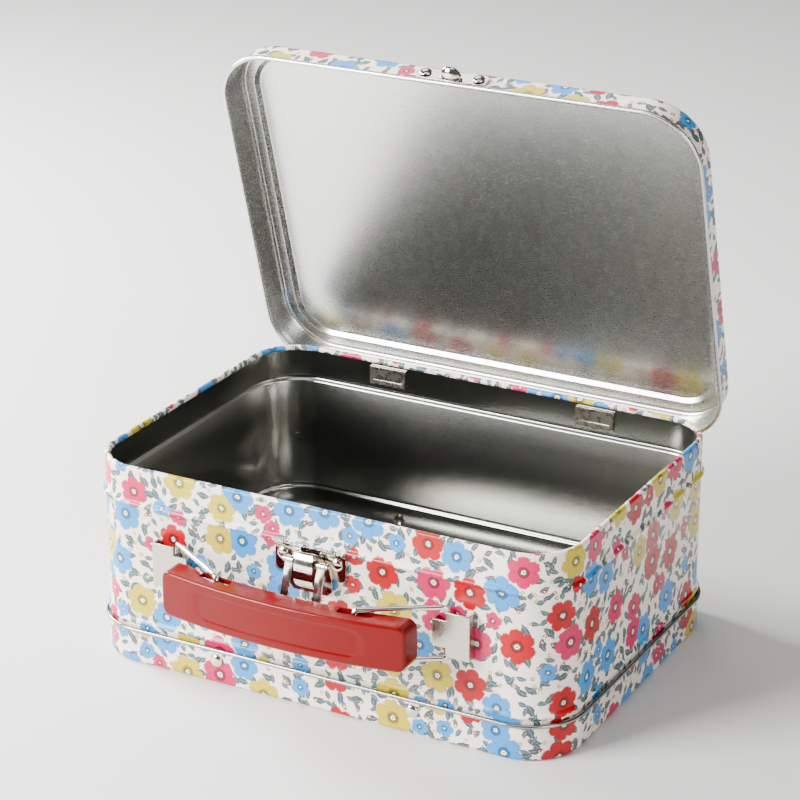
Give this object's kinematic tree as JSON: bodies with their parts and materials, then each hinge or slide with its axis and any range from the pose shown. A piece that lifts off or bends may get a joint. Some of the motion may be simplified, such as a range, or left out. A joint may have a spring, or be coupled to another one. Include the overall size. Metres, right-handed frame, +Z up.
{
  "type": "metal lunch box",
  "caption": "Small tinplate lunch box with an open hinged lid, floral print, draw latch and red grip on swinging wire rings.",
  "frame": {"origin": "middle of the flat underside, on the surface the box stands on", "axes": "+X to the right along the front, +Y from the front (latch and handle) to the hinges, +Z up"},
  "size_m": [0.205, 0.1859, 0.2216],
  "materials": {
    "printed_tinplate": "gloss lithographed print outside, bare tinplate inside",
    "nickel_plate": "bright nickel plate",
    "red_plastic": "gloss moulded plastic"
  },
  "bodies": {
    "body": {"body_band": "printed_tinplate", "base_cap": "printed_tinplate", "base_rivet_front_left": "nickel_plate", "base_rivet_front_right": "nickel_plate", "base_rivet_rear_left": "nickel_plate", "base_rivet_rear_right": "nickel_plate", "hinge_body_leaf_left": "nickel_plate", "hinge_body_leaf_right": "nickel_plate", "hinge_pin_left": "nickel_plate", "hinge_pin_right": "nickel_plate", "latch_base": "nickel_plate", "latch_rivet_left": "nickel_plate", "latch_rivet_right": "nickel_plate", "latch_lever_pin": "nickel_plate", "handle_bracket_left": "nickel_plate", "handle_bracket_right": "nickel_plate"},
    "lid": {"lid": "printed_tinplate", "hinge_lid_leaf_left": "nickel_plate", "hinge_lid_leaf_right": "nickel_plate", "lid_catch": "nickel_plate", "catch_rivet_left": "nickel_plate", "catch_rivet_right": "nickel_plate"},
    "latch_lever": {"latch_lever": "nickel_plate"},
    "latch_loop": {"latch_loop": "nickel_plate"},
    "ring_left": {"handle_ring_left": "nickel_plate"},
    "ring_right": {"handle_ring_right": "nickel_plate"},
    "grip": {"handle_grip": "red_plastic"}
  },
  "joints": [
    {"name": "lid_hinge", "type": "hinge", "parent": "body", "child": "lid", "pos_m": [0, 0.0758, 0.072], "axis": [-1, 0, 0], "range_deg": [-73.5, 21.5]},
    {"name": "latch_lever_pivot", "type": "hinge", "parent": "body", "child": "latch_lever", "pos_m": [0, -0.0771, 0.0642], "axis": [-1, 0, 0], "range_deg": [0, 75]},
    {"name": "latch_loop_pivot", "type": "hinge", "parent": "body", "child": "latch_loop", "pos_m": [0, -0.0769, 0.062], "axis": [-1, 0, 0], "range_deg": [0, 160]},
    {"name": "ring_left_pivot", "type": "hinge", "parent": "body", "child": "ring_left", "pos_m": [-0.0575, -0.0748, 0.0463], "axis": [0, 0, -1], "range_deg": [-18, 15.4]},
    {"name": "ring_right_pivot", "type": "hinge", "parent": "body", "child": "ring_right", "pos_m": [0.0575, -0.0748, 0.0463], "axis": [0, 0, 1], "range_deg": [-18, 15.4]},
    {"name": "grip_travel", "type": "slide", "parent": "body", "child": "grip", "axis": [0, -1, 0], "range_m": [-0.00984, 0.00842]}
  ],
  "couplings": [
    {"joint": "ring_right_pivot", "follows": "ring_left_pivot", "ratio": 1},
    {"joint": "grip_travel", "follows": "ring_left_pivot", "m_per_rad": 0.031226}
  ]
}
